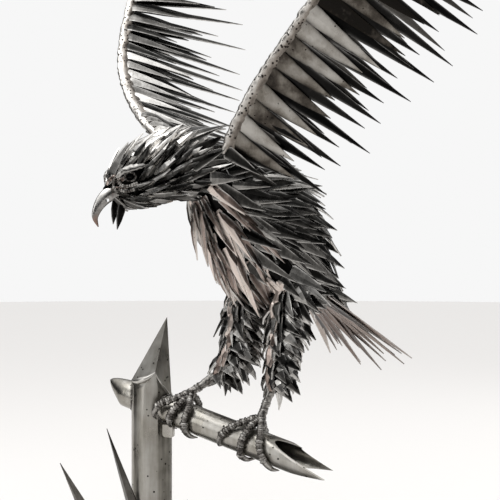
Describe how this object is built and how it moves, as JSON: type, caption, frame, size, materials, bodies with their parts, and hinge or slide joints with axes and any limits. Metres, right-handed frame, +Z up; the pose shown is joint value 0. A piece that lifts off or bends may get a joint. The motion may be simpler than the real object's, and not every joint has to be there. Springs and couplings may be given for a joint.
{
  "type": "scrap metal eagle sculpture",
  "caption": "Welded scrap steel eagle landing on a slanted pipe branch through an upright pipe post, on a low round base plate, as a free-standing ornament.",
  "frame": {"origin": "middle of the underside of the round base plate, on the ground", "axes": "+Z up; the viewer of the picture stands at -Y; the bird's head points to -X and a little to -Y"},
  "size_m": [1.0746, 0.837, 1.6543],
  "materials": {
    "base_steel": "dark satin hot-rolled plate",
    "pipe_steel": "ground and wire-brushed pipe, pitted, clear coated",
    "blade_steel": "ground plate, dark in the folds",
    "plate_steel": "polished cut plate with dark burnt edges",
    "wing_steel": "polished cut plate, light over dark",
    "tail_steel": "brown heat-tinted plate",
    "weld_steel": "beaded weld metal, polished on its crests",
    "beak_steel": "polished, brown at the tip"
  },
  "bodies": {
    "root": {"base_plate": "base_steel", "post": "pipe_steel", "branch": "pipe_steel", "branch_lug": "pipe_steel", "body": "plate_steel", "beak_upper": "beak_steel", "beak_lower_near": "plate_steel", "beak_lower_far": "plate_steel", "wing_near": "wing_steel", "wing_far": "wing_steel", "foot_near": "weld_steel", "foot_far": "weld_steel", "blade_1": "blade_steel", "blade_2": "blade_steel", "blade_3": "blade_steel", "blade_4": "blade_steel", "blade_5": "blade_steel", "tail_plate_1": "tail_steel", "tail_plate_2": "tail_steel", "tail_plate_3": "tail_steel", "tail_plate_4": "tail_steel", "tail_plate_5": "tail_steel", "tail_plate_6": "tail_steel", "tail_plate_7": "tail_steel", "tail_plate_8": "tail_steel", "tail_plate_9": "tail_steel"}
  },
  "joints": []
}
